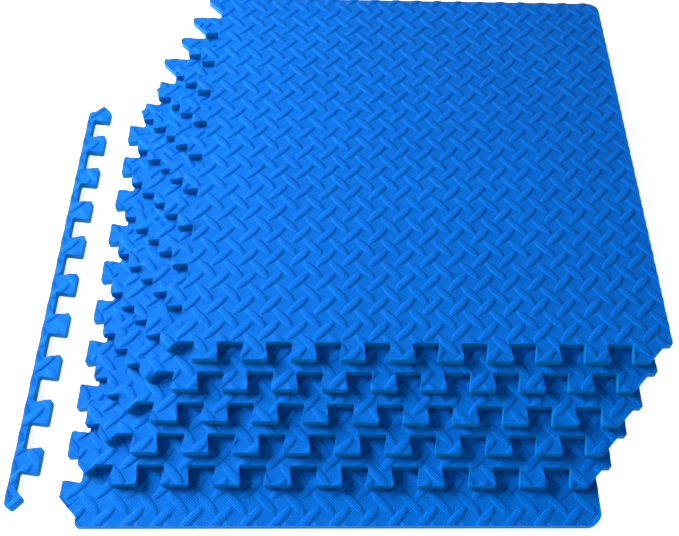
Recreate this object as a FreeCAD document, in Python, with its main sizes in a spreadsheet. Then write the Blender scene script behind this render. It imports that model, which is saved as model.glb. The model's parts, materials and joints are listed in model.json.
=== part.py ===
import FreeCAD, Part
import math
import os

import Sketcher

# Interlocking foam mats used as blocking boards: six square tiles in a fanned
# stack, eleven edge strips fitted to them, and one strip lying loose.
# Frame: millimetres, +Z up, +X right, +Y to the back. The origin is the centre
# of the bottom tile's underside.

# Driving dimensions, in millimetres and degrees, with what each one is.
SIZES = {
    "tile_side": (609.6, "nominal side of a tile, a 24 inch module"),
    "tile_thickness": (12.7, "half inch foam"),
    "tooth_depth": (23.0, "from gap floor to tooth tip, half each side of the nominal line"),
    "tooth_tip": (34.0, "width of a tooth at its tip; its neck is the rest of the pitch"),
    "strip_spine": (10.0, "width of a strip outside its teeth"),
    "fit_gap": (0.3, "clearance that stands for the press fit of foam in foam"),
    "corner_radius": (17.0, "rounded outer corner of a strip that turns a corner"),
    "loose_end_radius": (9.0, "rounded outer corner at the near end of the loose strip"),
    "tile_2_right": (19.8, "fan of the stack: each tile's centre from the bottom one's"),
    "tile_2_back": (33.0, ""),
    "tile_2_turn": (-0.37, ""),
    "tile_3_right": (40.9, ""),
    "tile_3_back": (67.3, ""),
    "tile_3_turn": (-0.23, ""),
    "tile_4_right": (64.6, ""),
    "tile_4_back": (100.2, ""),
    "tile_4_turn": (-0.6, ""),
    "tile_5_right": (84.6, ""),
    "tile_5_back": (136.8, ""),
    "tile_5_turn": (-0.12, ""),
    "tile_6_right": (107.9, ""),
    "tile_6_back": (170.3, ""),
    "tile_6_turn": (-0.27, ""),
    "loose_strip_right": (-55.6, "place of the loose strip, as that of the tile that it would fit"),
    "loose_strip_back": (12.1, ""),
    "loose_strip_turn": (0.39, ""),
}

TILES = 6
TEETH = 10
PITCH = 1 / TEETH  # as a share of tile_side
TOOTH_PLACE = 0.75  # centre of the first tooth, in pitches from a side's left end
ROOT_TWO = math.sqrt(2)

# The sides of a tile, by quarter turns about its centre. A side is drawn as the
# front one, from its left end as seen from outside.
FRONT, RIGHT, BACK, LEFT = range(4)

# Which strips each tile wears: side, and whether its right end turns the corner.
FITTED_STRIPS = {
    1: [(RIGHT, False), (FRONT, True)],
    2: [(RIGHT, False)],
    3: [(RIGHT, False), (BACK, False)],
    4: [(RIGHT, True), (BACK, False)],
    5: [(RIGHT, True), (BACK, False)],
    6: [(RIGHT, True), (BACK, False)],
}
SIDE_NAMES = {FRONT: "front", RIGHT: "right", BACK: "back", LEFT: "left"}


def dimensions_sheet(doc):
    """The spreadsheet that drives every size: a note, a value and an alias in each row."""
    sheet = doc.addObject("Spreadsheet::Sheet", "Dimensions")
    for row, (alias, (value, note)) in enumerate(SIZES.items(), start=1):
        sheet.set(f"A{row}", note or alias.replace("_", " "))
        sheet.set(f"B{row}", str(value))
        sheet.setAlias(f"B{row}", alias)
    doc.recompute()
    return sheet


def length(**shares):
    """A sum of shares of the driving dimensions, as its value and its expression."""
    value = sum(share * SIZES[alias][0] for alias, share in shares.items())
    terms = [f"({share:.12g}) * Dimensions.{alias}" for alias, share in shares.items()]
    return value, " + ".join(terms)


def along(pitches, **shares):
    """A length along a side, from the sketch's origin, which is two tooth depths
    outside the tile's nominal corner so that every coordinate is positive."""
    shares["tooth_depth"] = shares.get("tooth_depth", 0) + 2
    return length(tile_side=pitches * PITCH, **shares)


def inward(**shares):
    """A length across a side, inward from the same origin."""
    return along(0, **shares)


def closed_sketch(body, name, outlines):
    """A sketch of closed outlines whose corners are all set by expressions."""
    sketch = body.newObject("Sketcher::SketchObject", name)
    plane = next(f for f in body.Origin.OriginFeatures if f.Role == "XY_Plane")
    sketch.AttachmentSupport = [(plane, "")]
    sketch.MapMode = "FlatFace"
    for axis in "xy":
        sketch.setExpression(
            f"AttachmentOffset.Base.{axis}",
            "-Dimensions.tile_side / 2 - 2 * Dimensions.tooth_depth",
        )
    for outline in outlines:
        first = sketch.GeometryCount
        count = len(outline)
        points = [FreeCAD.Vector(x[0], y[0], 0) for x, y in outline]
        edges = [Part.LineSegment(points[i], points[(i + 1) % count]) for i in range(count)]
        sketch.addGeometry(edges, False)
        joins = [
            Sketcher.Constraint("Coincident", first + i, 2, first + (i + 1) % count, 1)
            for i in range(count)
        ]
        sketch.addConstraint(joins)
        for i, (x, y) in enumerate(outline):
            for kind, (value, expression) in (("DistanceX", x), ("DistanceY", y)):
                index = sketch.addConstraint(
                    Sketcher.Constraint(kind, -1, 1, first + i, 1, value)
                )
                sketch.setExpression(f"Constraints[{index}]", expression)
    return sketch


def pad(body, sketch, name):
    """The sketch as thick as the foam."""
    feature = body.newObject("PartDesign::Pad", name)
    feature.Profile = sketch
    feature.setExpression("Length", "Dimensions.tile_thickness")
    return feature


def tooth_outlines():
    """The ten teeth of one side. The last is cut at 45 degrees at the tile's corner."""
    floor = inward(tooth_depth=0.5)
    tip = inward(tooth_depth=-0.5)
    outlines = []
    for tooth in range(TEETH):
        place = tooth + TOOTH_PLACE
        outline = [
            (along(place - 0.5, tooth_tip=0.5), floor),
            (along(place, tooth_tip=-0.5), tip),
        ]
        if tooth < TEETH - 1:
            outline.append((along(place, tooth_tip=0.5), tip))
            outline.append((along(place + 0.5, tooth_tip=-0.5), floor))
        else:
            outline.append((along(TEETH, tooth_depth=-0.5), tip))
            outline.append((along(TEETH), inward()))
            outline.append((along(TEETH, tooth_depth=-0.5), floor))
        outlines.append(outline)
    return outlines


def strip_outline(turns_corner):
    """A strip's outline: its outer edge, its right end, its ten teeth from right
    to left, and its left end. Every mating edge stands off by the fit gap."""
    outer = inward(tooth_depth=-0.5, strip_spine=-1)
    valley = inward(tooth_depth=-0.5, fit_gap=-1)
    tip = inward(tooth_depth=0.5, fit_gap=-1)
    slant = ROOT_TWO - 1  # how far a 45 degree edge moves along, after standing off both ways
    outline = [(along(0, tooth_depth=0.5, fit_gap=ROOT_TWO), outer)]
    if turns_corner:
        end = along(TEETH, tooth_depth=0.5, strip_spine=1)
        outline.append((end, outer))
        outline.append((end, inward(tooth_depth=0.5)))
        outline.append((along(TEETH, tooth_depth=0.5, fit_gap=ROOT_TWO), inward(tooth_depth=0.5)))
    else:
        end = along(TEETH, tooth_depth=0.5)
        outline.append((end, outer))
        outline.append((end, inward(tooth_depth=-0.5, fit_gap=-ROOT_TWO)))
        outline.append((along(TEETH), inward(fit_gap=-ROOT_TWO)))
    outline.append((along(TEETH, tooth_depth=-0.5, fit_gap=slant), valley))
    for tooth in reversed(range(TEETH)):
        mate = tooth + TOOTH_PLACE
        outline.append((along(mate, tooth_tip=-0.5, fit_gap=-1), valley))
        outline.append((along(mate - 0.5, tooth_tip=0.5, fit_gap=-1), tip))
        if tooth > 0:
            outline.append((along(mate - 0.5, tooth_tip=-0.5, fit_gap=1), tip))
            outline.append((along(mate - 1, tooth_tip=0.5, fit_gap=1), valley))
    outline.append((along(0, tooth_depth=0.5, fit_gap=slant), tip))
    outline.append((along(0, fit_gap=ROOT_TWO), inward()))
    outline.append((along(0, tooth_depth=0.5, fit_gap=ROOT_TWO), inward(tooth_depth=-0.5)))
    return outline


def new_body(doc, label):
    body = doc.addObject("PartDesign::Body", label)
    body.Label = label
    return body


def place_body(body, place, level, side=FRONT):
    """Stands a body at its tile's place in the fan, on its level and side."""
    body.setExpression("Placement.Rotation.Axis.z", "1")
    turn = f"{90 * side} deg"
    if place:
        body.setExpression("Placement.Base.x", f"Dimensions.{place}_right")
        body.setExpression("Placement.Base.y", f"Dimensions.{place}_back")
        turn += f" + Dimensions.{place}_turn * 1 deg"
    body.setExpression("Placement.Rotation.Angle", turn)
    body.setExpression("Placement.Base.z", f"{level} * Dimensions.tile_thickness")


def round_corner(body, feature, x, y, alias):
    """Rounds the upright edge of a feature nearest to a point in the body's own frame."""
    body.Document.recompute()
    upright = [
        (math.hypot(edge.CenterOfMass.x - x, edge.CenterOfMass.y - y), f"Edge{i}")
        for i, edge in enumerate(feature.Shape.Edges, start=1)
        if edge.BoundBox.XLength + edge.BoundBox.YLength < 0.01
    ]
    fillet = body.newObject("PartDesign::Fillet", "RoundedCorner")
    fillet.Base = (feature, [min(upright)[1]])
    fillet.setExpression("Radius", f"Dimensions.{alias}")
    return fillet


def make_tile(doc, number):
    """One tile: a square plate inside the gap floors, and ten teeth on every side."""
    body = new_body(doc, f"tile_{number}")
    low = inward(tooth_depth=0.5)
    high = along(TEETH, tooth_depth=-0.5)
    plate = closed_sketch(body, "PlateOutline", [[(low, low), (high, low), (high, high), (low, high)]])
    pad(body, plate, "Plate")
    teeth = pad(body, closed_sketch(body, "TeethOutline", tooth_outlines()), "FrontTeeth")
    pattern = body.newObject("PartDesign::PolarPattern", "TeethAllRound")
    pattern.Originals = [teeth]
    upright = next(f for f in body.Origin.OriginFeatures if f.Role == "Z_Axis")
    pattern.Axis = (upright, [""])
    pattern.Angle = 360
    pattern.Occurrences = 4
    body.Tip = pattern
    place_body(body, f"tile_{number}" if number > 1 else None, number - 1)
    return body


def make_strip(doc, label, place, level, side, turns_corner=False, round_end=None):
    """One edge strip, drawn on the front side of a tile and turned to its own."""
    body = new_body(doc, label)
    feature = pad(body, closed_sketch(body, "StripOutline", [strip_outline(turns_corner)]), "Strip")
    radius = "corner_radius" if turns_corner else round_end
    if radius:
        half = SIZES["tile_side"][0] / 2
        reach = half + SIZES["tooth_depth"][0] / 2 + SIZES["strip_spine"][0]
        feature = round_corner(body, feature, reach, -reach, radius)
    body.Tip = feature
    place_body(body, place, level, side)
    return body


def check_document(doc, bodies):
    """Stops on a failed object, or on a body that isn't one sound solid."""
    for item in doc.Objects:
        if "Invalid" in item.State or "Error" in item.State:
            raise RuntimeError(f"{item.Name} failed: {item.State}")
    for body in bodies:
        shape = body.Shape
        if shape.isNull() or not shape.isValid() or len(shape.Solids) != 1:
            raise RuntimeError(f"{body.Label} isn't one valid solid")
        box = shape.BoundBox
        print(f"{body.Label}: {shape.Volume / 1000:.1f} cm3, x {box.XMin:.1f} to {box.XMax:.1f},"
              f" y {box.YMin:.1f} to {box.YMax:.1f}, z {box.ZMin:.1f} to {box.ZMax:.1f}")


doc = FreeCAD.newDocument("FoamMats")
dimensions_sheet(doc)
bodies = []
for number in range(1, TILES + 1):
    bodies.append(make_tile(doc, number))
    for side, turns_corner in FITTED_STRIPS[number]:
        bodies.append(
            make_strip(
                doc,
                f"{SIDE_NAMES[side]}_strip_{number}",
                f"tile_{number}" if number > 1 else None,
                number - 1,
                side,
                turns_corner,
            )
        )
bodies.append(make_strip(doc, "loose_strip", "loose_strip", 0, LEFT, False, "loose_end_radius"))
doc.recompute()
check_document(doc, bodies)

os.makedirs("parts", exist_ok=True)
for body in bodies:
    body.Shape.exportStep(f"parts/{body.Label}.step")
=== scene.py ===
import json
import math

import bpy
import numpy as np
from mathutils import Matrix, Vector
from mathutils.geometry import delaunay_2d_cdt

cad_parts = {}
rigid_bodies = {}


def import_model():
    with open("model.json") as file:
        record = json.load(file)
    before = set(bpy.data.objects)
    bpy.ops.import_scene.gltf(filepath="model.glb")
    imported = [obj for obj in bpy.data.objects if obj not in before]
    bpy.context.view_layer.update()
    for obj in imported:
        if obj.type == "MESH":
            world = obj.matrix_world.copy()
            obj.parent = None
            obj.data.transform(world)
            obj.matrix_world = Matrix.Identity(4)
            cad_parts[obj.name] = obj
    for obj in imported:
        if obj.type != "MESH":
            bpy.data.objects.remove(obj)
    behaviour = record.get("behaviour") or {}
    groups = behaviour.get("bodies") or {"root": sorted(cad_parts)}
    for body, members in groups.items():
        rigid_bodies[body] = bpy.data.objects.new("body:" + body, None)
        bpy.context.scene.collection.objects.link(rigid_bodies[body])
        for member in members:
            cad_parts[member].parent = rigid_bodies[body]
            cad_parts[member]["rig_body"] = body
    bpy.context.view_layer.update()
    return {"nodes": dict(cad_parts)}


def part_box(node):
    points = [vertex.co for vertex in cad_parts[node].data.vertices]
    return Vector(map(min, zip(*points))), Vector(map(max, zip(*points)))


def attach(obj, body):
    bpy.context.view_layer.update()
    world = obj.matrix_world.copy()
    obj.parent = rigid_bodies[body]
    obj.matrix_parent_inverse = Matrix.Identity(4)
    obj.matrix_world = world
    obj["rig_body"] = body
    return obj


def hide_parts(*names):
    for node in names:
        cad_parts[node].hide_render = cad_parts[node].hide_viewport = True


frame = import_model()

# Embossed foam mats and edge strips. Each CAD solid gets one detailed piece in its
# place: the solid's own outline with softened corners, a skin embossed with crossed
# leaves, cut walls and a flat underside. The shape's lengths are in millimetres; the
# floor, lights, camera and materials are in metres.

MM = 0.001

# Reading a solid's outline from its upper face.
FACES_UP = 0.9  # least z of an upper face's normal
MICROMETRE_DIGITS = 3  # corners of neighbouring faces meet once rounded this far
STRAIGHT_TURN = math.radians(0.5)  # a smaller turn is no corner at all

# Softened corners of the die-cut outline.
OUTER_RADIUS = 3.0  # tooth tips and strip ends
INNER_RADIUS = 2.5  # gap floors, tighter than the tooth tips that sit in them
MEETING_RADIUS = 0.6  # outer corners of two pieces that meet point to point
MEETING_REACH = 1.5  # neighbours further off than this don't count as meeting
SHARP_TURN = math.radians(25)  # a smaller turn belongs to a curve of the solid
ARC_STEP = math.radians(22)
ARC_SHARE = 0.45  # an arc takes up to this share of the shorter side beside it
OUTLINE_STEP = 3.0

# The foam stands a little out of the CAD outline and nearly fills the fitting gaps.
SWELL = 0.12
GAP_FILLED = 0.42  # share of a gap that the foam fills from each side
MOST_SWELL = 0.25

# Rings of the pressed upper edge and of the lower edge, from the outline inward.
UPPER_EDGE = [(0.0, 0.34), (0.14, 0.12), (0.42, 0.015), (1.3, 0.0)]  # inset, drop below the skin
WALL_SUPPORT = 0.5  # below the pressed edge, where the wall turns straight
LOWER_EDGE = [(0.0, 0.8), (0.0, 0.35), (0.25, 0.0)]  # inset, height above the underside
FOLD_SHARE = 0.999  # a ring's point nearer the outline than this share was folded back
LEAF_STAND_OFF = 1.8  # points of leaves stay this far inside the outline
UNDERSIDE_GRID = 22.0
UNDERSIDE_MARGIN = 3 * LEAF_STAND_OFF
SHARP_EDGE = math.radians(50)
TINY = 1e-6
WELD = 1e-5  # points nearer than this would be joined by the triangulation
INSIDE_EDGES = 1  # the triangulation's choice of triangles: those inside the edges

# The embossed pattern: leaves along one diagonal at the corners of each cell, and
# leaves along the other diagonal at its middle.
RISING, FALLING = 1, -1  # a leaf's diagonal, seen from above with its right end up or down
LEAVES = ((FALLING, 0.0), (RISING, 0.5))  # diagonal, place in the cell
DIAGONAL = math.pi / 4
CELL = np.array([34.55, 35.5])
LEAF_HALF_LENGTH = 16.8
LEAF_HALF_WIDTH = 5.4
LEAF_HEIGHT = 1.5
LEAF_TAPER, LEAF_BLUNTNESS = 3, 0.62  # powers that shape a leaf's outline
LEAF_END = 6  # power that keeps a leaf's height up to its ends
LEAF_FLANK = 0.5  # share of the half width that slopes down to the foot
LEAF_CROWN = 0.3  # share of the height that is a low crown over the top
LEAF_STATIONS = 9
LEAF_ACROSS = [0.0, 0.34, 0.6, 0.8, 0.92, 1.0, 1.1]  # shares of the half width
LEAF_ENDS = (-1.02, -0.985, 0.985, 1.02)  # shares of the half length, on the leaf's ridge

# Where the pattern falls on each piece: a falling leaf's place from the centre of
# the piece's box, along the piece's own axes.
PATTERN_PLACE = {
    "tile_6": (8.0, 24.2),
    "tile_5": (15.5, 33.7),
    "tile_4": (2.0, 8.2),
    "tile_3": (-4.0, 27.2),
    "tile_2": (7.5, 15.7),
    "tile_1": (-2.7, 19.5),
    "loose_strip": (12.9, 31.6),
}

# The pressed skin. Scales are per metre, and a ramp is a list of (factor, value).
SKIN_BLUES = [(0.3, (0.0001, 0.140, 0.65)), (0.7, (0.0002, 0.157, 0.72))]
SKIN_ROUGHNESS = [(0.3, 0.5), (0.7, 0.58)]
SKIN_SPECULAR = 0.25
SKIN_TINT = (0.05, 0.5, 1.0, 1)
SKIN_CLOUDS = {"Scale": 9.0, "Detail": 3.0, "Roughness": 0.55}
SKIN_GRAIN = {"Scale": 420.0, "Detail": 2.0, "Roughness": 0.6}
SKIN_WEAVE = {"Scale": 123.0, "Distortion": 0.6, "Detail": 1.0}  # bands 2.55 mm apart
GRAIN_SHARE = 0.3  # of the grain in the skin's fine relief, beside the weave
RELIEF_DEPTH = 0.0007
# Painted shade: the skin's colour is darkened in the weave's hollows, where shade falls.
WEAVE_PAINTED_SHADE = [(0.1, 0.6), (0.62, 1.0)]  # the weave's hollows are darker

# The die-cut walls. Their blues are darker than the skin's: partly the cut foam's own tone, partly
# painted shade on the sides.
WALL_BLUES_AND_PAINTED_SHADE = [(0.35, (0.001, 0.115, 0.30)), (0.65, (0.003, 0.135, 0.35))]
WALL_ROUGHNESS = [(0.35, 0.6), (0.65, 0.75)]
WALL_SPECULAR = 0.2
WALL_TINT = (0.0, 0.5, 1.0, 1)
WALL_STREAKS = {"Scale": 60.0, "Detail": 4.0}
WALL_CELLS = {"Scale": 900.0}
CELL_STRENGTH, CELL_DEPTH = 0.6, 0.00025

# Inputs and output of the colour mix node, which has a set for each kind of data.
MIX_FACTOR, MIX_FIRST, MIX_SECOND = 0, 6, 7
MIX_RESULT = 2

FLOOR_REACH = 6.0
FLOOR_DROP = 0.0002  # keeps the floor off the undersides
FLOOR_SHADER = {
    "Base Color": (0.9, 0.9, 0.9, 1),
    "Roughness": 0.9,
    "Specular IOR Level": 0.1,
    "Emission Color": (1, 1, 1, 1),
    "Emission Strength": 0.76,  # keeps the floor near white
}

# Soft panels that face the origin: place, size, power in watts.
PANELS = {
    "left_panel": ((-1.6, 0.4, 0.98), (1.0, 1.0), 102),
    "front_panel": ((0.3, -2.3, 1.2), (2.0, 1.2), 20),
}

# Grey of the backdrop at a height of the direction: pale near the horizon like a
# studio wall, dimmer overhead.
BACKDROP_GREYS = [(0.2, 0.85), (0.42, 0.15)]

# The camera stands in front of the stack and looks down on it. Its turns are those
# of a frame fitted to the teeth: pitch about X, lean about Y and roll about Z.
CAMERA_PLACE = (0.0187, -0.6149, 1.0958)
CAMERA_PITCH, CAMERA_LEAN, CAMERA_ROLL = (math.radians(a) for a in (-36.17, 1.72, 0.54))
CAMERA_LENS = 47.4
CAMERA_SENSOR = 36
CAMERA_SHIFT = (-0.0401, -0.1327)


def cad_outline(node, centre):
    """The outline of a node's upper face, anticlockwise, in millimetres from a centre."""
    mesh = frame["nodes"][node].data
    edges = set()
    for polygon in mesh.polygons:
        if polygon.normal.z < FACES_UP:
            continue
        points = [(mesh.vertices[i].co - centre) / MM for i in polygon.vertices]
        corners = [(round(p.x, MICROMETRE_DIGITS), round(p.y, MICROMETRE_DIGITS)) for p in points]
        edges.update(zip(corners, corners[1:] + corners[:1]))
    following = {start: end for start, end in edges if (end, start) not in edges}
    outline = [min(following)]
    while following[outline[-1]] != outline[0]:
        outline.append(following[outline[-1]])
    return np.array(outline)


def turns(outline):
    """The turn at each corner of an anticlockwise outline, positive where it is convex."""
    before = outline - np.roll(outline, 1, axis=0)
    after = np.roll(outline, -1, axis=0) - outline
    cross = before[:, 0] * after[:, 1] - before[:, 1] * after[:, 0]
    return np.arctan2(cross, (before * after).sum(axis=1))


def own_turn(outline):
    """How far a piece is turned from the frame's axes, from its longest edge."""
    edges = np.roll(outline, -1, axis=0) - outline
    longest = edges[np.argmax(np.hypot(*edges.T))]
    quarter = math.pi / 2
    angle = math.atan2(longest[1], longest[0])
    return (angle + quarter / 2) % quarter - quarter / 2


def turned(points, angle):
    """Points turned anticlockwise about the origin."""
    cosine, sine = math.cos(angle), math.sin(angle)
    return points @ np.array([[cosine, sine], [-sine, cosine]])


def corner_arc(last, here, following, turn, radius):
    """The points of an arc that rounds a corner, within its share of both sides."""
    back, ahead = last - here, following - here
    reach = radius * math.tan(abs(turn) / 2)
    limit = ARC_SHARE * min(np.hypot(*back), np.hypot(*ahead))
    radius *= min(1, limit / reach)
    reach = min(reach, limit)
    start = here + back / np.hypot(*back) * reach
    inward = np.array([back[1], -back[0]]) / np.hypot(*back) * math.copysign(radius, turn)
    middle = start + inward
    steps = max(2, math.ceil(abs(turn) / ARC_STEP))
    return [middle + turned(start - middle, turn * step / steps) for step in range(steps + 1)]


def softened(outline, meetings):
    """The outline with an arc at each sharp corner, then cut into short steps."""
    outline = outline[np.abs(turns(outline)) > STRAIGHT_TURN]
    path = []
    for i, turn in enumerate(turns(outline)):
        here = outline[i]
        if abs(turn) < SHARP_TURN:
            path.append(here)
            continue
        radius = OUTER_RADIUS if turn > 0 else INNER_RADIUS
        if turn > 0 and np.hypot(*(meetings - here).T).min() < MEETING_REACH:
            radius = MEETING_RADIUS
        path += corner_arc(outline[i - 1], here, outline[(i + 1) % len(outline)], turn, radius)
    path = np.array(path)
    cut = []
    for start, end in zip(path, np.roll(path, -1, axis=0)):
        parts = max(1, math.ceil(np.hypot(*(end - start)) / OUTLINE_STEP))
        cut.extend(start + (end - start) * part / parts for part in range(parts))
    return np.array(cut)


def inset(outline, distance):
    """The outline moved inward, each point along the bisector of its corner."""
    edges = np.roll(outline, -1, axis=0) - outline
    edges /= np.hypot(*edges.T)[:, None]
    normals = np.stack([-edges[:, 1], edges[:, 0]], axis=1)
    both = normals + np.roll(normals, 1, axis=0)
    return outline + distance * both * 2 / (both ** 2).sum(axis=1)[:, None]


def distances(points, outline):
    """How far each point lies from an outline."""
    ends = np.roll(outline, -1, axis=0) - outline
    from_start = points[:, None] - outline
    share = np.clip((from_start * ends).sum(axis=2) / (ends ** 2).sum(axis=1), 0, 1)
    return np.linalg.norm(from_start - share[:, :, None] * ends, axis=2).min(axis=1)


def swollen(outline, neighbours):
    """The outline pushed out, further where a wider gap parts it from a neighbour."""
    gap = np.min([distances(outline, neighbour) for neighbour in neighbours], axis=0)
    swell = np.where(gap < MEETING_REACH, np.clip(GAP_FILLED * gap, SWELL, MOST_SWELL), SWELL)
    return inset(outline, -swell[:, None])


def clean_inset(outline, distance):
    """The outline moved inward, without the points that a tight corner folds back."""
    ring = inset(outline, distance)
    return ring[distances(ring, outline) > FOLD_SHARE * distance - TINY]


def inside(points, outline):
    """Which points lie inside an outline."""
    result = np.zeros(len(points), bool)
    x, y = points.T
    for (x1, y1), (x2, y2) in zip(outline, np.roll(outline, -1, axis=0)):
        if y1 != y2:
            crossed = ((y1 > y) != (y2 > y)) & (x < (x2 - x1) * (y - y1) / (y2 - y1) + x1)
            result ^= crossed
    return result


def half_width(along):
    """A leaf's half width at a share of its half length."""
    return LEAF_HALF_WIDTH * np.clip(1 - np.abs(along) ** LEAF_TAPER, 0, 1) ** LEAF_BLUNTNESS


def leaf_middles(place, low, high):
    """The places and diagonals of the leaves that reach into a rectangle."""
    for direction, offset in LEAVES:
        first = np.ceil((low - LEAF_HALF_LENGTH - place) / CELL - offset)
        last = np.floor((high + LEAF_HALF_LENGTH - place) / CELL - offset)
        for i in np.arange(first[0], last[0] + 1):
            for j in np.arange(first[1], last[1] + 1):
                yield place + (np.array([i, j]) + offset) * CELL, direction


def leaf_points():
    """Points on one leaf that lies along X: its ridge, its flanks and its foot."""
    points = []
    for along in np.linspace(-1, 1, LEAF_STATIONS + 2)[1:-1]:
        width = half_width(along)
        for share in LEAF_ACROSS:
            for across in sorted({-share, share}):
                points.append((along * LEAF_HALF_LENGTH, across * width))
    points += [(end * LEAF_HALF_LENGTH, 0) for end in LEAF_ENDS]
    return np.array(points)


def skin_height(points, place):
    """How high the embossed skin stands above its own base."""
    height = np.zeros(len(points))
    for direction, offset in LEAVES:
        near = (points - place) / CELL - offset
        near = (near - np.round(near)) * CELL
        along = (near[:, 0] + direction * near[:, 1]) / math.sqrt(2) / LEAF_HALF_LENGTH
        across = (near[:, 1] - direction * near[:, 0]) / math.sqrt(2)
        share = np.abs(across) / np.maximum(half_width(along), TINY)
        rise = np.clip((1 - share) / LEAF_FLANK, 0, 1)
        crown = np.clip(1 - share ** 2, 0, 1)
        dome = (1 - LEAF_CROWN) * rise * (2 - rise) + LEAF_CROWN * crown
        fall = np.sqrt(np.clip(1 - np.abs(along) ** LEAF_END, 0, 1))
        height = np.maximum(height, LEAF_HEIGHT * dome * fall)
    return height


def triangles(rings, loose):
    """Flat triangles inside the first ring that keep every ring and loose point."""
    points = np.concatenate([*rings, loose])
    edges = []
    start = 0
    for ring in rings:
        count = len(ring)
        edges += [(start + i, start + (i + 1) % count) for i in range(count)]
        start += count
    face = list(range(len(rings[0])))
    made = delaunay_2d_cdt([Vector(p) for p in points], edges, [face], INSIDE_EDGES, WELD, True)
    places, faces, sources = made[0], made[2], made[3]
    if len(places) != len(points):
        raise RuntimeError(f"{len(places)} points came back for {len(points)}")
    index = np.array([source[0] for source in sources])
    faces = index[np.array(faces)]
    edge_only = np.flatnonzero((faces < len(rings[0])).all(axis=1))
    outside = edge_only[~inside(points[faces[edge_only]].mean(axis=1), rings[0])]
    return points, np.delete(faces, outside, axis=0).tolist()


def upper_side(outline, thickness, place):
    """The embossed skin with its pressed edge: vertices, the outline's first, and faces."""
    rings = [clean_inset(outline, distance) for distance, _ in UPPER_EDGE]
    leaf = leaf_points()
    spots = [
        middle + turned(leaf, direction * DIAGONAL)
        for middle, direction in leaf_middles(place, outline.min(axis=0), outline.max(axis=0))
    ]
    spots = np.concatenate(spots)
    loose = spots[inside(spots, inset(outline, LEAF_STAND_OFF))]
    points, faces = triangles(rings, loose)
    height = thickness - LEAF_HEIGHT + skin_height(points, place)
    start = 0
    for ring, (_, drop) in zip(rings, UPPER_EDGE):
        height[start : start + len(ring)] -= drop
        start += len(ring)
    return np.column_stack([points, height]), faces


def underside(outline):
    """The flat underside: points, the foot's first, and faces seen from above."""
    spans = zip(outline.min(axis=0), outline.max(axis=0))
    grid = np.stack(np.meshgrid(*[np.arange(*span, UNDERSIDE_GRID) for span in spans]), -1)
    grid = grid.reshape(-1, 2)
    grid = grid[inside(grid, inset(outline, UNDERSIDE_MARGIN))]
    return triangles([inset(outline, LOWER_EDGE[-1][0])], grid)


def build_mesh(name, outline, thickness, place):
    """A piece's closed mesh about the centre of its underside."""
    vertices, faces = upper_side(outline, thickness, place)
    wall_start = len(faces)

    count = len(outline)
    levels = [(0.0, vertices[:count, 2] - WALL_SUPPORT)]
    levels += [(distance, np.full(count, height)) for distance, height in LOWER_EDGE]
    above = np.arange(count)
    after = np.roll(above, -1)
    for distance, heights in levels:
        below = np.arange(count) + len(vertices)
        ring = np.column_stack([inset(outline, distance), heights])
        vertices = np.concatenate([vertices, ring])
        faces += np.column_stack([above, below, below[after], above[after]]).tolist()
        above = below
    wall_end = len(faces)

    points, under_faces = underside(outline)
    extra = len(vertices) - count
    middle = np.column_stack([points[count:], np.zeros(len(points) - count)])
    vertices = np.concatenate([vertices, middle])
    for face in under_faces:
        faces.append([above[i] if i < count else i + extra for i in reversed(face)])

    mesh = bpy.data.meshes.new(name)
    mesh.from_pydata((vertices * MM).tolist(), [], faces)
    mesh.validate()
    slots = np.zeros(len(faces), np.int32)
    slots[wall_start:wall_end] = 1
    mesh.polygons.foreach_set("material_index", slots)
    mesh.shade_smooth()
    mesh.set_sharp_from_angle(angle=SHARP_EDGE)
    return mesh


def pattern_place(node, centre, turn):
    """Where a falling leaf lies from a piece's centre. A fitted strip carries on the
    pattern of its tile."""
    if node in PATTERN_PLACE:
        return np.array(PATTERN_PLACE[node])
    tile = "tile_" + node[-1]
    low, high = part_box(tile)
    apart = ((low + high) / 2 - centre) / MM
    return np.array(PATTERN_PLACE[tile]) + turned(np.array(apart[:2]), -turn)


def foam_piece(node):
    """The detailed piece that stands for a CAD node."""
    low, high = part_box(node)
    centre = (low + high) / 2
    outline = cad_outline(node, centre)
    turn = own_turn(outline)
    others = [other for other in frame["nodes"] if other != node]
    beside = [other for other in others if abs(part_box(other)[0].z - low.z) < MM]
    neighbours = [turned(cad_outline(other, centre), -turn) for other in beside]
    meetings = np.concatenate([shape[turns(shape) > SHARP_TURN] for shape in neighbours])
    outline = swollen(softened(turned(outline, -turn), meetings), neighbours)
    place = pattern_place(node, centre, turn)
    mesh = build_mesh(f"{node}_foam", outline, (high.z - low.z) / MM, place)
    piece = bpy.data.objects.new(f"{node}_foam", mesh)
    bpy.context.scene.collection.objects.link(piece)
    foot = Matrix.Translation((centre.x, centre.y, low.z))
    piece.matrix_world = foot @ Matrix.Rotation(turn, 4, "Z")
    body = frame["nodes"][node]["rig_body"]
    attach(piece, body)
    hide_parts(node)
    return piece


def set_ramp(node, stops):
    """Colours or grey levels of a ramp node with two stops."""
    for element, (position, value) in zip(node.color_ramp.elements, stops):
        colour = value if isinstance(value, tuple) else (value, value, value)
        element.position = position
        element.color = (*colour, 1)


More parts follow.
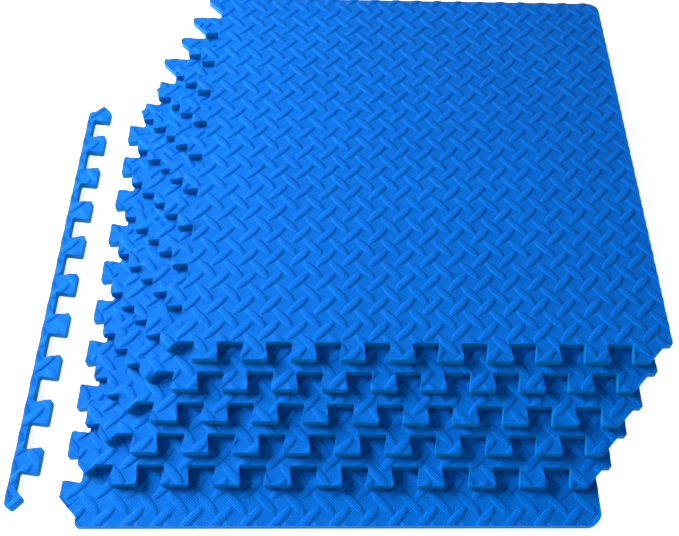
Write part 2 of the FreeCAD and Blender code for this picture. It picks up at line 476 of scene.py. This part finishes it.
class Shading:
    """A material, with short ways to add shader nodes to it and join them."""

    def __init__(self, name):
        self.material = bpy.data.materials.new(name)
        self.material.use_nodes = True
        self.tree = self.material.node_tree

    def fill(self, node, inputs):
        """Sets a node's inputs, or joins them where the value is another node's output."""
        for key, value in inputs.items():
            if isinstance(value, bpy.types.NodeSocket):
                self.tree.links.new(value, node.inputs[key])
            else:
                node.inputs[key].default_value = value

    def add(self, kind, inputs, **settings):
        """A new node, with its settings made and its inputs filled."""
        node = self.tree.nodes.new(kind)
        for key, value in settings.items():
            setattr(node, key, value)
        self.fill(node, inputs)
        return node

    def ramp(self, factor, stops):
        """Colours or grey levels along a factor."""
        node = self.add("ShaderNodeValToRGB", {"Fac": factor})
        set_ramp(node, stops)
        return node.outputs["Color"]

    def surface(self, inputs):
        """The material, with its surface shader's inputs filled."""
        self.fill(self.tree.nodes["Principled BSDF"], inputs)
        return self.material


def weave_bands(shading, where, angle):
    """One set of the weave's bands, turned by an angle."""
    tilted = shading.add("ShaderNodeMapping", {"Vector": where, "Rotation": (0, 0, angle)})
    inputs = {"Vector": tilted.outputs["Vector"], **SKIN_WEAVE}
    bands = shading.add(
        "ShaderNodeTexWave", inputs, wave_type="BANDS", bands_direction="X", wave_profile="SIN"
    )
    return bands.outputs["Fac"]


def foam_skin(name):
    """The pressed skin of the foam: saturated blue, satin, with a fine woven texture whose hollows are
    darkened with painted shade.
    """
    shading = Shading(name)
    where = shading.add("ShaderNodeTexCoord", {}).outputs["Object"]
    clouds = shading.add("ShaderNodeTexNoise", {"Vector": where, **SKIN_CLOUDS}).outputs["Fac"]
    grain = shading.add("ShaderNodeTexNoise", {"Vector": where, **SKIN_GRAIN}).outputs["Fac"]
    rising = weave_bands(shading, where, DIAGONAL)
    falling = weave_bands(shading, where, -DIAGONAL)
    crossed = shading.add("ShaderNodeMath", {0: rising, 1: falling}, operation="MULTIPLY")
    heights = {0: grain, 1: GRAIN_SHARE, 2: crossed.outputs[0]}
    relief = shading.add("ShaderNodeMath", heights, operation="MULTIPLY_ADD").outputs[0]
    bump = shading.add("ShaderNodeBump", {"Strength": 1.0, "Distance": RELIEF_DEPTH, "Height": relief})
    # The skin's blues times a painted shade that darkens the weave's hollows.
    blues_and_painted_shade = {
        MIX_FACTOR: 1.0,
        MIX_FIRST: shading.ramp(clouds, SKIN_BLUES),
        MIX_SECOND: shading.ramp(relief, WEAVE_PAINTED_SHADE),
    }
    colour = shading.add("ShaderNodeMix", blues_and_painted_shade, data_type="RGBA", blend_type="MULTIPLY")
    return shading.surface({
        "Base Color": colour.outputs[MIX_RESULT],
        "Roughness": shading.ramp(clouds, SKIN_ROUGHNESS),
        "Normal": bump.outputs["Normal"],
        "Specular IOR Level": SKIN_SPECULAR,
        "Specular Tint": SKIN_TINT,
    })


def cut_foam_painted_shade(name):
    """The die-cut walls: the same foam with its cells open, duller and uneven, in a darker blue that
    is partly painted shade.
    """
    shading = Shading(name)
    where = shading.add("ShaderNodeTexCoord", {}).outputs["Object"]
    cells = shading.add("ShaderNodeTexVoronoi", {"Vector": where, **WALL_CELLS})
    streaks = shading.add("ShaderNodeTexNoise", {"Vector": where, **WALL_STREAKS}).outputs["Fac"]
    depth = {"Strength": CELL_STRENGTH, "Distance": CELL_DEPTH, "Height": cells.outputs["Distance"]}
    bump = shading.add("ShaderNodeBump", depth)
    return shading.surface({
        # Partly painted shade: the walls' blues are darker than the skin's.
        "Base Color": shading.ramp(streaks, WALL_BLUES_AND_PAINTED_SHADE),
        "Roughness": shading.ramp(streaks, WALL_ROUGHNESS),
        "Normal": bump.outputs["Normal"],
        "Specular IOR Level": WALL_SPECULAR,
        "Specular Tint": WALL_TINT,
    })


def floor_sheet():
    """A plain pale floor, wide enough to fill every view."""
    mesh = bpy.data.meshes.new("floor")
    signs = ((-1, -1), (1, -1), (1, 1), (-1, 1))
    corners = [(x * FLOOR_REACH, y * FLOOR_REACH, 0) for x, y in signs]
    mesh.from_pydata(corners, [], [(0, 1, 2, 3)])
    mesh.materials.append(Shading("floor_white").surface(FLOOR_SHADER))
    sheet = bpy.data.objects.new("floor", mesh)
    sheet.location.z = -FLOOR_DROP
    bpy.context.scene.collection.objects.link(sheet)


def soft_light(name, place, size, power):
    """A large soft panel that faces the origin."""
    data = bpy.data.lights.new(name, "AREA")
    data.shape = "RECTANGLE"
    data.size, data.size_y = size
    data.energy = power
    light = bpy.data.objects.new(name, data)
    light.location = place
    light.rotation_mode = "QUATERNION"
    light.rotation_quaternion = (-Vector(place)).to_track_quat("-Z", "Y")
    bpy.context.scene.collection.objects.link(light)


def backdrop():
    """The world: a grey that depends on the height of the direction only."""
    world = bpy.data.worlds.new("studio")
    bpy.context.scene.world = world
    world.use_nodes = True
    tree = world.node_tree
    direction = tree.nodes.new("ShaderNodeTexCoord").outputs["Generated"]
    height = tree.nodes.new("ShaderNodeSeparateXYZ")
    tree.links.new(direction, height.inputs["Vector"])
    fade = tree.nodes.new("ShaderNodeValToRGB")
    tree.links.new(height.outputs["Z"], fade.inputs["Fac"])
    set_ramp(fade, BACKDROP_GREYS)
    tree.links.new(fade.outputs["Color"], tree.nodes["Background"].inputs["Color"])


def front_camera():
    """The camera, placed and turned as the constants above say."""
    camera = bpy.data.objects.new("camera", bpy.data.cameras.new("camera"))
    camera.data.lens = CAMERA_LENS
    camera.data.sensor_width = CAMERA_SENSOR
    camera.data.shift_x, camera.data.shift_y = CAMERA_SHIFT
    to_camera = (
        Matrix.Rotation(CAMERA_ROLL, 4, "Z")
        @ Matrix.Rotation(CAMERA_PITCH, 4, "X")
        @ Matrix.Rotation(CAMERA_LEAN, 4, "Y")
    )
    camera.matrix_world = Matrix.Translation(CAMERA_PLACE) @ to_camera.transposed()
    bpy.context.scene.collection.objects.link(camera)
    bpy.context.scene.camera = camera


skin = foam_skin("foam_skin")
wall = cut_foam_painted_shade("cut_foam_painted_shade")
for node in sorted(frame["nodes"]):
    piece = foam_piece(node)
    piece.data.materials.append(skin)
    piece.data.materials.append(wall)

floor_sheet()
for name, (place, size, power) in PANELS.items():
    soft_light(name, place, size, power)
backdrop()
bpy.context.scene.view_settings.view_transform = "Standard"
front_camera()
